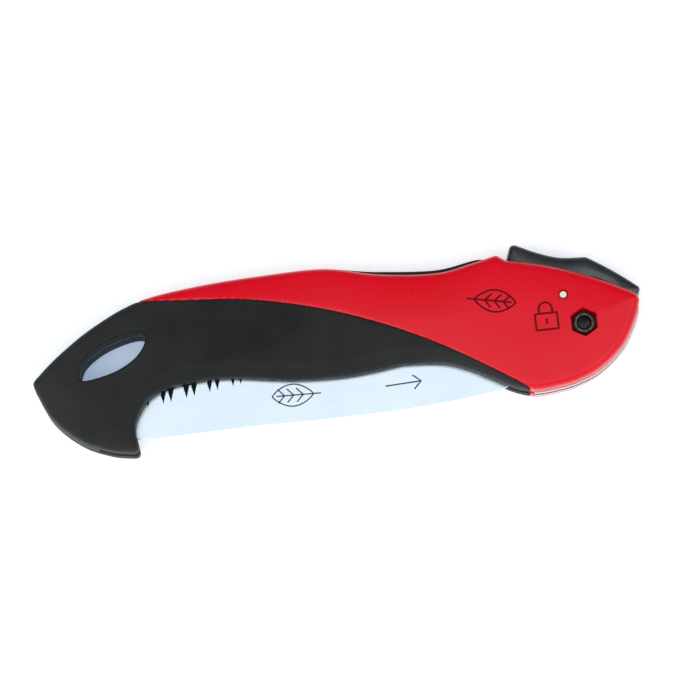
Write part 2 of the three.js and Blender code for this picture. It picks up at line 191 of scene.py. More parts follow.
def lever_outline():
    hub = 3.1
    x, y = LEVER_PIN
    o = Outline(-25, 21).line(-14.6, 19.8).quad(-10, 18.4, x - hub, y)
    for angle in np.radians(np.linspace(190, 330, 15)):
        o.line(x + hub * math.cos(angle), y + hub * math.sin(angle))
    o.line(1.4, 15.4).quad(3.4, 16.6, *polar(16.6, 66)).arc(16.6, 66, 47)
    o.arc(15.15, 44.9, 23).quad(16.6, 7.6, 20.5, 7.5).line(22, 10.1).line(21.8, 11.2)
    o.quad(14, 18.6, 5.4, 24.5).quad(4.4, 25.2, 3, 25.2)
    o.spline([(-5, 26.3), (-12.6, 29.3), (-19.4, 33)]).quad(-21.6, 34, -22.5, 32.2)
    return o.line(-25.2, 25.6).array()


# ---------------------------------------------------------------- distance fields


class Field:
    """Signed distance to a flat outline, negative inside, read smoothly from a grid."""

    STEP = 0.5

    def __init__(self, polygon, low, high):
        self.low = np.array(low, float)
        xs = np.arange(low[0], high[0] + self.STEP, self.STEP)
        ys = np.arange(low[1], high[1] + self.STEP, self.STEP)
        x, y = np.meshgrid(xs, ys, indexing="ij")
        nearest = np.full(x.shape, 1e9)
        inside = np.zeros(x.shape, bool)
        for (ax, ay), (bx, by) in zip(polygon, np.roll(polygon, -1, axis=0)):
            dx, dy = bx - ax, by - ay
            t = np.clip(((x - ax) * dx + (y - ay) * dy) / (dx * dx + dy * dy), 0, 1)
            nearest = np.minimum(nearest, (x - ax - t * dx) ** 2 + (y - ay - t * dy) ** 2)
            if ay != by:
                inside ^= ((ay > y) != (by > y)) & (x < ax + (y - ay) * dx / dy)
        self.grid = np.sqrt(nearest) * np.where(inside, -1, 1)

    def __call__(self, x, y):
        u = (x - self.low[0]) / self.STEP
        v = (y - self.low[1]) / self.STEP
        i = np.clip(np.floor(u).astype(int), 1, self.grid.shape[0] - 3)
        j = np.clip(np.floor(v).astype(int), 1, self.grid.shape[1] - 3)
        weights_u, weights_v = self.weights(u - i), self.weights(v - j)
        total = 0
        for a in range(4):
            for b in range(4):
                total = total + weights_u[a] * weights_v[b] * self.grid[i + a - 1, j + b - 1]
        return total

    @staticmethod
    def weights(t):
        t = np.clip(t, -0.5, 1.5)
        return (
            (-t + 2 * t**2 - t**3) / 2,
            (2 - 5 * t**2 + 3 * t**3) / 2,
            (t + 4 * t**2 - 3 * t**3) / 2,
            (-(t**2) + t**3) / 2,
        )


def smoothstep(low, high, value):
    t = np.clip((value - low) / (high - low), 0, 1)
    return t * t * (3 - 2 * t)


def both(a, b, radius=0.3):
    """The overlap of two shapes, with the edge between them rounded."""
    corner = np.hypot(np.maximum(a + radius, 0), np.maximum(b + radius, 0))
    return np.minimum(np.maximum(a, b), -radius) + corner


def without(a, b, radius=0.3):
    return both(a, -b, radius)


def either(a, b):
    return np.minimum(a, b)


def pillow(outside, height, top, across, deep):
    """A plate standing on an outline, with elliptical edges.

    outside is the distance to the outline, height the distance from the middle plane, and top the plate's
    half thickness there."""
    px, py = outside + across, height - top + deep
    x, y = np.maximum(px, 0), np.maximum(py, 0)
    k0 = np.hypot(x / across, y / deep)
    k1 = np.hypot(x / across**2, y / deep**2)
    rounded = k0 * (k0 - 1) / np.maximum(k1, 1e-9)
    return np.where((px <= 0) & (py <= 0), np.maximum(px - across, py - deep), rounded)


# ---------------------------------------------------------------- meshing


def surface_net(shape, low, high, step):
    """Vertices and four-sided faces of the surface where shape is zero, smoothed onto it."""
    axes = [np.arange(a, b + step, step) for a, b in zip(low, high)]
    grid = np.stack(np.meshgrid(*axes, indexing="ij"), axis=-1)
    value = shape(*np.moveaxis(grid, -1, 0))
    inside = value < 0
    cells = tuple(n - 1 for n in value.shape)
    total = np.zeros((*cells, 3))
    count = np.zeros(cells)
    crossings = []
    for axis in range(3):
        near = [slice(None)] * 3
        far = [slice(None)] * 3
        near[axis], far[axis] = slice(0, -1), slice(1, None)
        near, far = tuple(near), tuple(far)
        crossed = inside[near] != inside[far]
        where = np.argwhere(crossed)
        a, b = value[near][crossed], value[far][crossed]
        spot = grid[near][crossed].copy()
        spot[:, axis] += step * a / (a - b)
        crossings.append((axis, where, inside[near][crossed]))
        others = [k for k in range(3) if k != axis]
        for da in (0, 1):
            for db in (0, 1):
                cell = where.copy()
                cell[:, others[0]] -= da
                cell[:, others[1]] -= db
                good = np.all((cell >= 0) & (cell < cells), axis=1)
                flat = np.ravel_multi_index(cell[good].T, cells)
                np.add.at(total.reshape(-1, 3), flat, spot[good])
                np.add.at(count.reshape(-1), flat, 1)
    used = count.reshape(-1) > 0
    index = np.full(used.shape, -1)
    index[used] = np.arange(used.sum())
    index = index.reshape(cells)
    vertices = total.reshape(-1, 3)[used] / count.reshape(-1)[used, None]
    faces = [quads_across(index, *crossing) for crossing in crossings]
    return pulled_onto(shape, vertices, step), np.concatenate(faces)


def quads_across(index, axis, where, leaves):
    """One face for each grid edge that crosses the surface, joining the four cells round that edge."""
    first, second = [(1, 2), (2, 0), (0, 1)][axis]
    low = np.all(where[:, [first, second]] >= 1, axis=1)
    high = np.all(where[:, [first, second]] < np.array(index.shape)[[first, second]], axis=1)
    where, leaves = where[low & high], leaves[low & high]
    corners = []
    for da, db in ((1, 1), (0, 1), (0, 0), (1, 0)):
        cell = where.copy()
        cell[:, first] -= da
        cell[:, second] -= db
        corners.append(index[tuple(cell.T)])
    quads = np.stack(corners, axis=1)
    quads[~leaves] = quads[~leaves][:, ::-1]
    return quads


def pulled_onto(shape, vertices, step):
    reach = step / 8
    for _ in range(3):
        value = shape(*vertices.T)
        slope = np.empty_like(vertices)
        for axis in range(3):
            shift = np.zeros(3)
            shift[axis] = reach
            slope[:, axis] = (shape(*(vertices + shift).T) - shape(*(vertices - shift).T)) / (2 * reach)
        steep = np.maximum((slope**2).sum(axis=1), 0.05)
        move = slope * (value / steep)[:, None]
        length = np.linalg.norm(move, axis=1, keepdims=True)
        vertices = vertices - move * np.minimum(1, step / 2 / np.maximum(length, 1e-9))
    return vertices


def new_object(name, vertices, faces, look, body, slot, smooth=40):
    """A mesh piece from drawing points, riding on a body. Edges over smooth degrees stay sharp."""
    mesh = bpy.data.meshes.new(name)
    mesh.from_pydata([tuple(p) for p in placed(vertices)], [], [tuple(int(i) for i in f) for f in faces])
    mesh.validate()
    mesh.materials.append(look)
    made = bpy.data.objects.new(name, mesh)
    bpy.context.scene.collection.objects.link(made)
    mesh.shade_smooth()
    mesh.set_sharp_from_angle(angle=math.radians(smooth))
    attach(made, body)
    return made


def sculpted(name, shape, low, high, step, look, body, slot):
    return new_object(name, *surface_net(shape, low, high, step), look, body, slot)


def mirrored(points):
    return np.asarray(points) * [1, 1, -1] + [0, 0, THICKNESS]


# ---------------------------------------------------------------- materials


def linear(red, green, blue):
    """A colour given as it looks on a screen, 0 to 255."""
    return tuple((c / 255) ** 2.2 for c in (red, green, blue)) + (1.0,)


class Look:
    """A material with one Principled shader and short calls to add procedural detail to it."""

    def __init__(self, name, color, roughness, metallic=0.0, **sockets):
        self.material = bpy.data.materials.new(name)
        self.material.use_nodes = True
        self.nodes = self.material.node_tree.nodes
        self.links = self.material.node_tree.links
        self.shader = self.nodes["Principled BSDF"]
        self.shader.inputs["Base Color"].default_value = color
        self.shader.inputs["Roughness"].default_value = roughness
        self.shader.inputs["Metallic"].default_value = metallic
        for socket, value in sockets.items():
            self.shader.inputs[socket.replace("_", " ")].default_value = value
        self.place = self.nodes.new("ShaderNodeTexCoord").outputs["Object"]
        self.normal = None

    def noise(self, size_mm, detail=3.0, stretch=(1, 1, 1)):
        """A grain whose features are about size_mm across."""
        mapping = self.nodes.new("ShaderNodeMapping")
        mapping.inputs["Scale"].default_value = stretch
        noise = self.nodes.new("ShaderNodeTexNoise")
        noise.inputs["Scale"].default_value = 1000 / size_mm
        noise.inputs["Detail"].default_value = detail
        self.links.new(self.place, mapping.inputs["Vector"])
        self.links.new(mapping.outputs["Vector"], noise.inputs["Vector"])
        return noise.outputs["Fac"]

    def ramp(self, factor, low, high, start=0.35, end=0.65):
        ramp = self.nodes.new("ShaderNodeValToRGB")
        ramp.color_ramp.elements[0].position = start
        ramp.color_ramp.elements[1].position = end
        ramp.color_ramp.elements[0].color = low
        ramp.color_ramp.elements[1].color = high
        self.links.new(factor, ramp.inputs["Fac"])
        return ramp.outputs["Color"]

    def colour(self, factor, low, high, **span):
        self.links.new(self.ramp(factor, low, high, **span), self.shader.inputs["Base Color"])

    def rough(self, factor, low, high):
        values = [(v, v, v, 1) for v in (low, high)]
        self.links.new(self.ramp(factor, *values, start=0.2, end=0.8), self.shader.inputs["Roughness"])

    def bump(self, factor, depth_mm, strength=1.0):
        bump = self.nodes.new("ShaderNodeBump")
        bump.inputs["Distance"].default_value = depth_mm * MM
        bump.inputs["Strength"].default_value = strength
        self.links.new(factor, bump.inputs["Height"])
        if self.normal is not None:
            self.links.new(self.normal, bump.inputs["Normal"])
        self.normal = bump.outputs["Normal"]
        self.links.new(self.normal, self.shader.inputs["Normal"])


def red_plastic():
    look = Look("red_moulded_plastic", linear(231, 8, 34), 0.28, Specular_IOR_Level=0.3)
    look.colour(look.noise(30, 2), linear(228, 6, 30), linear(234, 9, 37), start=0.2, end=0.8)
    look.rough(look.noise(25, 2), 0.27, 0.3)
    look.bump(look.noise(0.9, 2), 0.002)
    return look.material


def black_rubber():
    look = Look("black_grip_rubber", linear(27, 28, 25), 0.6, Specular_IOR_Level=0.18)
    look.colour(look.noise(40, 6), linear(28, 29, 26), linear(49, 50, 47), start=0.3, end=0.7)
    look.rough(look.noise(2.5, 3), 0.52, 0.68)
    look.bump(look.noise(0.45, 3), 0.02)
    return look.material


def black_plastic():
    look = Look("black_frame_plastic", linear(30, 31, 30), 0.5)
    look.rough(look.noise(3, 3), 0.45, 0.58)
    look.bump(look.noise(0.6, 2), 0.01)
    return look.material


def gloss_black():
    look = Look("gloss_black_lever", linear(26, 28, 30), 0.25, Specular_IOR_Level=0.95)
    look.colour(look.noise(6, 3), linear(38, 38, 36), linear(48, 48, 48))
    look.rough(look.noise(5, 4), 0.2, 0.3)
    look.bump(look.noise(0.7, 2), 0.008)
    return look.material


def blade_steel():
    look = Look("ground_blade_steel", linear(238, 247, 255), 0.27, 1.0)
    look.colour(look.noise(18, 3), linear(234, 244, 252), linear(242, 250, 255), start=0.3, end=0.7)
    look.rough(look.noise(1.2, 3, (0.05, 1, 1)), 0.25, 0.3)
    look.bump(look.noise(0.35, 2, (0.03, 1, 1)), 0.0008)
    return look.material


def bright_steel(name, color):
    look = Look(name, color, 0.28, 1.0)
    look.rough(look.noise(0.8, 3), 0.22, 0.36)
    look.bump(look.noise(0.4, 2), 0.003)
    return look.material


def black_oxide(name, low, high):
    look = Look(name, low, 0.36, 0.8)
    look.colour(look.noise(1.4, 4), low, high)
    look.rough(look.noise(1, 3), 0.28, 0.44)
    look.bump(look.noise(0.35, 3), 0.01)
    return look.material


def dark_nylon():
    look = Look("dark_locking_nylon", linear(52, 52, 48), 0.5)
    look.bump(look.noise(0.5, 2), 0.01)
    return look.material


def bronze():
    look = Look("bearing_bronze", linear(176, 136, 78), 0.35, 1.0)
    look.rough(look.noise(0.8, 3), 0.3, 0.42)
    return look.material


def mark_etch_and_groove_shade(name, color, specular):
    # A flat mark colour: real etching on the blade, and on the handle painted shade of engraved grooves.
    look = Look(name, color, 0.5, Specular_IOR_Level=specular)
    look.bump(look.noise(0.3, 2), 0.004)
    return look.material


RED = red_plastic()
RUBBER = black_rubber()
FRAME_BLACK = black_plastic()
GLOSS = gloss_black()
BLADE = blade_steel()
STEEL = bright_steel("bright_steel", linear(214, 212, 208))
PIN_STEEL = bright_steel("turned_pin_steel", linear(255, 236, 208))
OXIDE = black_oxide("black_oxide_nut", linear(58, 55, 50), linear(96, 90, 82))
DARK_OXIDE = black_oxide("black_oxide_bolt", linear(30, 29, 27), linear(52, 50, 46))
NYLON = dark_nylon()
BRONZE = bronze()

# ---------------------------------------------------------------- handle

WHOLE = ((-204, -28), (26, 42))
outline = Field(handle_outline(), *WHOLE)
parting = Field(rubber_outline(), *WHOLE)
hole = Field(hole_outline(), (-196, -8), (-145, 34))
ledge = Field(ledge_outline(), (-172, -20), (-106, 14))
pocket = Field(pocket_outline(), (-40, -10), (40, 50))
CROWN = 1.0  # the faces fall by this much towards their edges
CROWN_REACH = 18
SLOT_HALF = 1.5
NUT_TURN = math.radians(-2)
NUT_RECESS_FLATS = 9.3
BOLT_RECESS_RADIUS = 5.4
PIN_RECESS_RADIUS = 1.8


def face_height(inside):
    """Half thickness of the handle at a distance inside its outline."""
    return MIDDLE - SKIN - CROWN * np.maximum(0, 1 - inside / CROWN_REACH) ** 2


def handle(x, y, z):
    outside = outline(x, y) + SKIN
    under = smoothstep(1, -7, parting(x, y)) * smoothstep(-166, -148, x)
    across = 2.6 + 3.2 * under
    deep = 3.0 + 2.4 * under
    return pillow(outside, np.abs(z - MIDDLE), face_height(-outside), across, deep)


def front_shell(x, y, z):
    red_side = 0.07 - parting(x, y)
    body = both(handle(x, y, z), SLOT_HALF - (z - MIDDLE))
    lever_room = np.maximum(pocket(x, y), np.abs(z - MIDDLE) - 5.25)
    return without(both(body, red_side), lever_room)


def front_grip(x, y, z):
    body = both(handle(x, y, z), SLOT_HALF - (z - MIDDLE))
    return without(both(body, parting(x, y) + 0.07), hole(x, y), 0.8)


def back_grip(x, y, z):
    """The back grip, drawn on the front side. It has a ledge behind the toothed end of the folded blade."""
    plate = both(ledge(x, y) + SKIN, np.abs(z - MIDDLE - SLOT_HALF - 2) - 2 + SKIN, 0.5)
    return either(front_grip(x, y, z), plate)


def cut(target, tool):
    """Cuts one piece with another, and removes the other."""
    modifier = target.modifiers.new("cut", "BOOLEAN")
    modifier.operation = "DIFFERENCE"
    modifier.solver = "EXACT"
    modifier.object = tool
    bpy.context.view_layer.update()
    evaluated = target.evaluated_get(bpy.context.evaluated_depsgraph_get())
    mesh = bpy.data.meshes.new_from_object(evaluated)
    target.modifiers.clear()
    target.data = mesh
    mesh.set_sharp_from_angle(angle=math.radians(40))
    bpy.data.objects.remove(tool)


def cutter(sides, radius, low, high, centre=(0, 0), chamfer=0.25, turn=0.0):
    """A bar along z that flares out by chamfer where it leaves the front or the back surface."""
    x, y = centre
    from_front = high > THICKNESS
    inner, outer = (low, high) if from_front else (high, low)
    flare = THICKNESS - 0.3 if from_front else 0.3
    steps = [(inner, 0), (flare, 0), (outer, chamfer * 4)]
    rings = []
    for z, grow in steps:
        for i in range(sides):
            angle = 2 * math.pi * (i + 0.5 * (sides == 6)) / sides + turn
            reach = radius + grow
            rings.append((x + reach * math.cos(angle), y + reach * math.sin(angle), z))
    faces = [tuple(range(sides))[::-1], tuple(range(2 * sides, 3 * sides))]
    for level in range(2):
        for i in range(sides):
            j = (i + 1) % sides
            a = level * sides
            faces.append((a + i, a + j, a + sides + j, a + sides + i))
    mesh = bpy.data.meshes.new("cutter")
    mesh.from_pydata([tuple(p) for p in placed(rings)], [], faces)
    if not from_front:
        mesh.flip_normals()
    made = bpy.data.objects.new("cutter", mesh)
    bpy.context.scene.collection.objects.link(made)
    return made


def build_handle():
    low, high = (-203, -27, MIDDLE), (24, 40, THICKNESS + 1)
    on_shell = (RED, "handle", "red_nylon")
    shell, faces = surface_net(front_shell, low, high, 0.5)
    front = new_object("front_shell_moulding", shell, faces, *on_shell)
    back = new_object("back_shell_moulding", mirrored(shell), faces[:, ::-1], *on_shell)
    cut(front, cutter(6, NUT_RECESS_FLATS / math.sqrt(3), 14.1, 22, turn=NUT_TURN))
    cut(front, cutter(32, PIN_RECESS_RADIUS, 17, 22, LEVER_PIN, 0.08))
    cut(back, cutter(48, BOLT_RECESS_RADIUS, -2, 4.2))
    cut(back, cutter(32, PIN_RECESS_RADIUS, -2, 3, LEVER_PIN, 0.08))
    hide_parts("handle_shell_front")
    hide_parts("handle_shell_back")
    on_grip = (RUBBER, "handle", "black_rubber")
    front_rubber = sculpted("front_grip_rubber", front_grip, low, high, 0.5, *on_grip)
    grip, faces = surface_net(back_grip, low, high, 0.5)
    back_rubber = new_object("back_grip_rubber", mirrored(grip), faces[:, ::-1], *on_grip)
    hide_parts("grip_front")
    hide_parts("grip_back")


def build_top_strip():
    """The rubber strip along the back edge: a rounded section carried along the edge's curve."""
    edge = np.array(spline(TOP_EDGE, 12))
    edge = edge[(edge[:, 0] > -160) & (edge[:, 0] < -30.5)]
    along = np.gradient(edge, axis=0)
    along /= np.linalg.norm(along, axis=1)[:, None]
    out = np.stack([-along[:, 1], along[:, 0]], axis=1)
    sides = 20
    vertices = []
    for i, ((x, y), (nx, ny)) in enumerate(zip(edge, out)):
        rise = 0.1 + 1.65 * math.exp(-(((x + 54) / 26) ** 4))  # stands proud at the waist
        end = min(1, math.sqrt(min(i, len(edge) - 1 - i) / 6) + 0.05)
        for angle in 2 * math.pi * np.arange(sides) / sides:
            c, s = math.cos(angle), math.sin(angle)
            wide = 5.4 * end * math.copysign(abs(c) ** 0.35, c)
            high = (rise * end if s > 0 else 1.4) * math.copysign(abs(s) ** 0.8, s)
            vertices.append((x + nx * high, y + ny * high, MIDDLE + wide))
    faces = [tuple(range(sides))[::-1], tuple(range(len(vertices) - sides, len(vertices)))]
    for i in range(len(edge) - 1):
        for j in range(sides):
            k = (j + 1) % sides
            faces.append((i * sides + j, i * sides + k, (i + 1) * sides + k, (i + 1) * sides + j))
    strip = new_object("back_edge_strip", vertices, faces, RUBBER, "handle", "black_rubber", 60)
    strip.data.flip_normals()
    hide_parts("top_grip_strip")


# ---------------------------------------------------------------- lever

lever_field = Field(lever_outline(), (-34, -2), (30, 40))


def lever(x, y, z):
    outside = lever_field(x, y) + SKIN
    top = 5 - SKIN - 0.45 * np.maximum(0, 1 + outside / 5) ** 2
    body = pillow(outside, np.abs(z - MIDDLE), top, 1.7, 1.6)
    pin_hole = np.hypot(x - LEVER_PIN[0], y - LEVER_PIN[1]) - 1.3
    return without(body, pin_hole, 0.2)


def build_lever():
    on_lever = (GLOSS, "lever", "gloss_black")
    made = sculpted("lock_lever_moulding", lever, (-28, -1, 4), (23, 35, 16), 0.4, *on_lever)
    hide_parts("lock_lever")


# ---------------------------------------------------------------- blade

PITCH = 2.88
TOOTH_COUNT = 50
DEEP, SHALLOW = 5.1, 0.5
LEAN = 1.0  # rake of the teeth towards the handle over a deep gullet
FACET = 1.1  # how far down from its point a tooth is ground to a slant
TOOTH_SET = 0.3  # a tooth's point lies this far to the front or to the back
TOOTH_POINT_HALF = 0.12
BLADE_HALF = 0.75 - SKIN
TOOTH_START, TOOTH_END = (34.6, -12.4), (177.9, 1.4)


def tooth_stations():
    """The toothed edge as (along, deep, height). height is 1 on a tooth's point and 0 below its facets."""
    stations = [(0.0, 0.0, 0.0)]
    for i in range(TOOTH_COUNT):
        depth = DEEP if i % 3 else SHALLOW
        start = i * PITCH
        bottom = PITCH / 2 + LEAN * depth / DEEP
        facet = min(FACET, 0.8 * depth)
        stations.append((start + bottom * facet / depth, facet, 0.0))
        stations.append((start + bottom, depth, 0.0))
        stations.append((start + PITCH - (PITCH - bottom) * facet / depth, facet, 0.0))
        stations.append((start + PITCH, 0.0, 1.0))
    stations[-1] = (TOOTH_COUNT * PITCH, 0.0, 0.0)
    return stations


def blade_back():
    """The blade's outline, drawn open, from the last tooth round the nose and the heel to the first."""
    o = Outline(*TOOTH_END).quad(179.5, 9.6, 171, 13.7).quad(166, 16.3, 158, 16.8)
    o.spline([(125, 17.7), (98, 19.1), (72, 19.9), (50, 19.5), (33, 18.3)])
    o.spline([(26.7, 15.2), (23.1, 10.3), (22.5, 6.9)]).quad(21.9, 3.2, 19.4, 3.2)
    o.arc(13.2, 14, 40, 8).arc(14.8, 46.4, 64, 8).arc(9, 68, 304, 48).line(22.6, -7.9)
    return o.spline([(26, -8.6), (30, -10.8), TOOTH_START]).array()


def build_blade():
    """Front and back faces. The teeth are ground to a slant, in turn from the front and from the back."""
    start, end = np.array(TOOTH_START), np.array(TOOTH_END)
    along = (end - start) / np.linalg.norm(end - start)
    across = np.array([-along[1], along[0]])
    stations = tooth_stations()
    front, back = [], []
    for reach, deep, height in stations:
        x, y = start + along * reach + across * deep
        offset = TOOTH_SET * height * (1 if round(reach / PITCH) % 2 else -1)
        half = BLADE_HALF * (1 - height) + TOOTH_POINT_HALF * height
        front.append((x, y, MIDDLE + offset + half))
        back.append((x, y, MIDDLE + offset - half))
    roots = [i for i, (_, _, height) in enumerate(stations) if height == 0]
    for x, y in blade_back()[1:-1]:
        front.append((x, y, MIDDLE + BLADE_HALF))
        back.append((x, y, MIDDLE - BLADE_HALF))
    count, toothed = len(front), len(stations)
    around = roots + list(range(toothed, count))
    faces = [around, [count + i for i in reversed(around)]]
    for a, b in zip(roots, roots[1:]):
        tooth = list(range(a, b + 1))
        if len(tooth) > 2:
            faces.append(tooth[::-1])
            faces.append([count + i for i in tooth])
    for i in range(count):
        j = (i + 1) % count
        faces.append([j, i, count + i, count + j])
    folded = np.array(front + back) * [-1, -1, 1]
    made = new_object("saw_blade", folded, faces, BLADE, "blade", "blade_steel", 20)
    cut(made, round_cutter(3.55))
    bevel = made.modifiers.new("edge", "BEVEL")
    bevel.width = 0.12 * MM
    bevel.segments = 2
    bevel.limit_method = "ANGLE"
    bevel.angle_limit = math.radians(50)
    bevel.use_clamp_overlap = True
    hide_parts("blade")


def round_cutter(radius, sides=64):
    ring = [(radius * math.cos(a), radius * math.sin(a)) for a in 2 * math.pi * np.arange(sides) / sides]
    vertices = [(x, y, 5) for x, y in ring] + [(x, y, 15) for x, y in ring]
    faces = [tuple(range(sides))[::-1], tuple(range(sides, 2 * sides))]
    faces += [(i, (i + 1) % sides, sides + (i + 1) % sides, sides + i) for i in range(sides)]
    mesh = bpy.data.meshes.new("cutter")
    mesh.from_pydata([tuple(p) for p in placed(vertices)], [], faces)
    made = bpy.data.objects.new("cutter", mesh)
    bpy.context.scene.collection.objects.link(made)
    return made


# ---------------------------------------------------------------- pivot hardware


def hexagon(x, y, flats, turn=0.0):
    """Distance to a hexagon, turned by an angle from having corners towards +Y and -Y."""
    sides = [turn + i * math.pi / 3 for i in range(3)]
    distances = [np.abs(x * math.cos(a) + y * math.sin(a)) for a in sides]
    return np.maximum.reduce(distances) - flats / 2


def nut(x, y, z):
    r = np.hypot(x, y)
    block = both(hexagon(x, y, 7.96, NUT_TURN), np.abs(z - 16.1) - 1.86, 0.12)
    block = both(block, (r - 3.95 + z - 17.96) * 0.7, 0.1)
    collar = both(both(r - 3.8, z - 18.95, 0.55), 14.3 - z)
    body = either(block, collar)
    return without(body, r - 2.62, 0.15)


def nut_ring(x, y, z):
    r = np.hypot(x, y)
    return np.hypot(r - 2.98, (z - 18.6) / 0.9) - 0.32


def bolt(x, y, z):
    r = np.hypot(x, y)
    turn = np.arctan2(y, x) / (2 * math.pi)
    thread = np.abs(((z / 0.8 - turn) % 1) - 0.5) * 2
    rod = both(r - 2.3 - 0.16 * thread, z - 19.15 + 0.05 * r * r, 0.3)
    rod = both(rod, 2.5 - z)
    head = both(r - 4.7, np.abs(z - 1.86) - 1.32, 0.5)
    head = without(head, np.maximum(hexagon(x, y, 3.0), z - 2.2), 0.12)
    return either(rod, head)


def build_hardware():
    on_nut = (OXIDE, "handle", "black_steel")
    made = sculpted("pivot_lock_nut", nut, (-5, -5, 13.8), (5, 5, 19.5), 0.16, *on_nut)
    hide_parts("pivot_nut")
    on_ring = (NYLON, "handle", "dark_nylon")
    made = sculpted("nut_nylon_ring", nut_ring, (-4, -4, 18), (4, 4, 19.3), 0.14, *on_ring)
    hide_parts("nut_locking_ring")
    on_bolt = (DARK_OXIDE, "handle", "black_steel")
    made = sculpted("pivot_bolt_threaded", bolt, (-5, -5, 0), (5, 5, 19.6), 0.16, *on_bolt)
    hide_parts("pivot_bolt")


def softened(node, look, width):
    """A CAD piece kept as it is, with its own material and its sharp edges broken."""
    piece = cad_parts[node]
    piece.data.materials.clear()
    piece.data.materials.append(look)
    if width:
        bevel = piece.modifiers.new("edge", "BEVEL")
        bevel.width = width * MM
        bevel.segments = 2
        bevel.limit_method = "ANGLE"
        bevel.angle_limit = math.radians(40)


def dress_cad():
    softened("spine_frame", FRAME_BLACK, 0.15)
    for node in ("liner_front", "liner_back"):
        softened(node, STEEL, 0.12)
    softened("lever_pin", PIN_STEEL, 0.2)
    for node in ("lever_spring", "shell_dowel_1", "shell_dowel_2", "shell_dowel_3", "shell_dowel_4"):
        softened(node, STEEL, 0)
    softened("bolt_washer", DARK_OXIDE, 0.1)
    for node in ("pivot_bush", "blade_washer_front", "blade_washer_back"):
        softened(node, BRONZE, 0.04)


# ---------------------------------------------------------------- marks


def ribbon(points, width, height, closed=False):
    """A flat line of one width along points, lying at height(x, y)."""
    p = np.array(points, float)
    if closed:
        along = np.roll(p, -1, axis=0) - np.roll(p, 1, axis=0)
    else:
        along = np.gradient(p, axis=0)
    along /= np.linalg.norm(along, axis=1)[:, None]
    side = np.stack([-along[:, 1], along[:, 0]], axis=1) * width / 2
    left, right = p + side, p - side
    flat = np.concatenate([left, right])
    vertices = np.column_stack([flat, height(flat[:, 0], flat[:, 1])])
    count = len(p)
    pairs = [(i, (i + 1) % count) for i in range(count if closed else count - 1)]
    return vertices, [(count + a, count + b, b, a) for a, b in pairs]


def turned(degrees):
    c, s = math.cos(math.radians(degrees)), math.sin(math.radians(degrees))
    return np.array([[c, s], [-s, c]])


def leaf_lines(centre, length, turn):
    """A leaf: two curved sides, a midrib with a stalk, and three pairs of veins."""
    t = np.linspace(0, 1, 24)
    half = 0.27 * length * np.sin(math.pi * t) ** 0.8
    x = (t - 0.5) * length
    lines = [(np.column_stack([x, half]), False), (np.column_stack([x, -half]), False)]
    lines.append((np.column_stack([np.linspace(-0.68, 0.4, 12) * length, np.zeros(12)]), False))
    reach = np.linspace(0, 1, 6)
    for at in (-0.25, -0.02, 0.2):
        for side in (1, -1):
            vein = np.column_stack([(at + 0.16 * reach) * length, side * 0.17 * length * reach])
            lines.append((vein, False))
    return [(line @ turned(turn) + centre, closed) for line, closed in lines]


def padlock_lines(centre, size, turn):
    """A padlock: its body, its shackle and a keyhole."""
    box = [(-0.5, -0.6), (0.5, -0.6), (0.5, 0.15), (-0.5, 0.15)]
    edge = []
    for (ax, ay), (bx, by) in zip(box, box[1:] + box[:1]):
        edge += [(ax + (bx - ax) * t, ay + (by - ay) * t) for t in np.linspace(0, 0.9, 8)]
    angles = np.linspace(0, math.pi, 14)
    bow = [(0.3 * math.cos(a), 0.35 + 0.3 * math.sin(a)) for a in angles]
    shackle = [(0.3, 0.15), *bow, (-0.3, 0.15)]
    keyhole = [(0, -0.1), (0, -0.2), (0, -0.35)]
    shapes = ((edge, True), (shackle, False), (keyhole, False))
    return [(np.array(line) * size @ turned(turn) + centre, closed) for line, closed in shapes]


def arrow_lines(centre, length, turn):
    shaft = np.column_stack([np.linspace(-0.5, 0.5, 10), np.zeros(10)])
    head = np.array([(0.28, 0.2), (0.39, 0.1), (0.5, 0), (0.39, -0.1), (0.28, -0.2)])
    return [(line * length @ turned(turn) + centre, False) for line in (shaft, head)]


def build_mark(name, lines, width, height, look, body, slot):
    vertices, faces = [], []
    for line, closed in lines:
        more, quads = ribbon(line, width, height, closed)
        faces += [tuple(i + len(vertices) for i in quad) for quad in quads]
        vertices += [tuple(p) for p in more]
    new_object(name, vertices, faces, look, body, slot)


def on_handle(x, y):
    return MIDDLE + face_height(-outline(x, y) - SKIN) + 0.012


def on_blade(x, y):
    return np.full_like(x, MIDDLE + BLADE_HALF + 0.006)


def build_marks():
    # The handle marks are flat dark-red lines on the surface: painted shade standing in for the shade
    # inside engraved grooves.
    groove_shade_red = mark_etch_and_groove_shade("painted_groove_shade_mark", linear(104, 0, 10), 0.15)
    grey = mark_etch_and_groove_shade("etched_mark", linear(70, 74, 80), 0.5)
    handle_side = (on_handle, groove_shade_red, "handle", "red_nylon")
    blade_side = (on_blade, grey, "blade", "blade_steel")
    build_mark("handle_leaf_mark", leaf_lines((-30.5, 12.5), 15, -14), 0.7, *handle_side)
    build_mark("handle_lock_mark", padlock_lines((-13.2, 4), 8, -2), 0.75, *handle_side)
    build_mark("blade_leaf_mark", leaf_lines((-107.5, -8.6), 15, 176), 0.5, *blade_side)
    build_mark("blade_arrow_mark", arrow_lines((-67.5, -10.5), 13, 0), 0.55, *blade_side)


# ---------------------------------------------------------------- stage, lights and camera


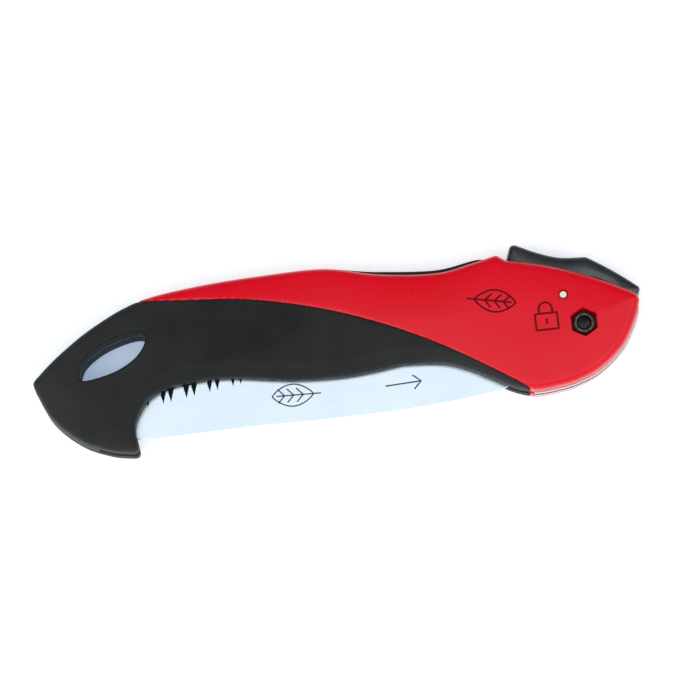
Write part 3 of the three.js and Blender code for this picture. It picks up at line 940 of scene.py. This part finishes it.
def glowing_floor():
    """A pale floor that glows. An oval under the hole in the tail glows less, and bluer: a painted bluish
    shadow on the floor seen through the hole.
    """
    look = Look("pale_floor", linear(250, 251, 253), 0.9, Specular_IOR_Level=0.1, Emission_Strength=1.0)
    hole_shadow_oval = look.nodes.new("ShaderNodeMapping")
    hole_shadow_oval.vector_type = "TEXTURE"
    hole_shadow_oval.inputs["Location"].default_value = placed((-170, 14, 0))
    hole_shadow_oval.inputs["Rotation"].default_value = (0, 0, math.radians(25))
    hole_shadow_oval.inputs["Scale"].default_value = (0.032, 0.016, 1)
    reach = look.nodes.new("ShaderNodeVectorMath")
    reach.operation = "LENGTH"
    look.links.new(look.place, hole_shadow_oval.inputs["Vector"])
    look.links.new(hole_shadow_oval.outputs["Vector"], reach.inputs[0])
    # Painted shadow: under the hole the floor glows dimmer and bluer than it does around the hole.
    hole_shadow_glow, around = (0.15, 0.22, 0.34, 1), (0.42, 0.42, 0.42, 1)
    glow = look.ramp(reach.outputs["Value"], hole_shadow_glow, around, start=0.5, end=0.6)
    look.links.new(glow, look.shader.inputs["Emission Color"])
    return look.material


def build_stage():
    mesh = bpy.data.meshes.new("floor")
    size = 6
    corners = [(-size, -size, 0), (size, -size, 0), (size, size, 0), (-size, size, 0)]
    mesh.from_pydata(corners, [], [(0, 1, 2, 3)])
    floor = bpy.data.objects.new("floor", mesh)
    floor.location.z = -0.0002
    bpy.context.scene.collection.objects.link(floor)
    mesh.materials.append(glowing_floor())


def faded(tree, value, low, high, start, end):
    """A number that changes smoothly from start to end while value goes from low to high."""
    node = tree.nodes.new("ShaderNodeMapRange")
    node.interpolation_type = "SMOOTHSTEP"
    for socket, limit in zip(("From Min", "From Max", "To Min", "To Max"), (low, high, start, end)):
        node.inputs[socket].default_value = limit
    tree.links.new(value, node.inputs["Value"])
    return node.outputs["Result"]


def joined(tree, operation, first, second):
    node = tree.nodes.new("ShaderNodeMath")
    node.operation = operation
    tree.links.new(first, node.inputs[0])
    tree.links.new(second, node.inputs[1])
    return node.outputs["Value"]


def build_world():
    """A pale sky, bright on the toothed side and overhead, with a dark band and a dimmer panel behind."""
    world = bpy.data.worlds.new("studio")
    world.use_nodes = True
    tree = world.node_tree
    direction = tree.nodes.new("ShaderNodeTexCoord").outputs["Generated"]
    split = tree.nodes.new("ShaderNodeSeparateXYZ")
    tree.links.new(direction, split.inputs["Vector"])
    front = faded(tree, split.outputs["Y"], 0.17, 0.36, 1.42, 0.02)
    rear = faded(tree, split.outputs["Y"], 0.55, 0.85, 0.0, 0.6)
    overhead = faded(tree, split.outputs["Z"], 0.15, 0.65, 0.15, 1.0)
    strength = joined(tree, "MULTIPLY", joined(tree, "ADD", front, rear), overhead)
    sky = tree.nodes["Background"]
    sky.inputs["Color"].default_value = (0.86, 0.93, 1.0, 1)
    tree.links.new(strength, sky.inputs["Strength"])
    bpy.context.scene.world = world
    bpy.context.scene.view_settings.view_transform = "Standard"


def softbox(name, place, aim, size, power, color=(1, 1, 1)):
    light = bpy.data.lights.new(name, "AREA")
    light.shape = "RECTANGLE"
    light.size, light.size_y = size
    light.energy = power
    light.color = color
    made = bpy.data.objects.new(name, light)
    bpy.context.scene.collection.objects.link(made)
    made.location = place
    made.rotation_euler = (Vector(aim) - Vector(place)).to_track_quat("-Z", "Y").to_euler()


def build_lights():
    softbox("key", (-0.5, -0.4, 1.3), (0, 0, 0), (1.0, 0.7), 2.6)
    softbox("fill", (0.7, -0.7, 0.8), (0, 0, 0), (0.6, 0.6), 0.8, (0.9, 0.95, 1.0))


def build_camera():
    """From the toothed side, 12 degrees off square, with the saw rising to the right."""
    distance, width = 2.2, 0.2516
    tilt, roll = math.radians(12), math.radians(8.7)
    target = Vector(placed((-84.7, 2.9, 19)))
    back = Vector((0, -math.sin(tilt), math.cos(tilt)))
    level, upright = Vector((1, 0, 0)), Vector((0, math.cos(tilt), math.sin(tilt)))
    right = level * math.cos(roll) - upright * math.sin(roll)
    up = level * math.sin(roll) + upright * math.cos(roll)
    camera = bpy.data.cameras.new("camera")
    camera.sensor_width = 36
    camera.lens = 36 * distance / width
    camera.clip_end = 20
    made = bpy.data.objects.new("camera", camera)
    bpy.context.scene.collection.objects.link(made)
    turn = Matrix((right, up, back)).transposed().to_4x4()
    made.matrix_world = Matrix.Translation(target + back * distance) @ turn
    bpy.context.scene.camera = made


build_handle()
build_top_strip()
build_lever()
build_blade()
build_hardware()
dress_cad()
build_marks()
build_stage()
build_world()
build_lights()
build_camera()
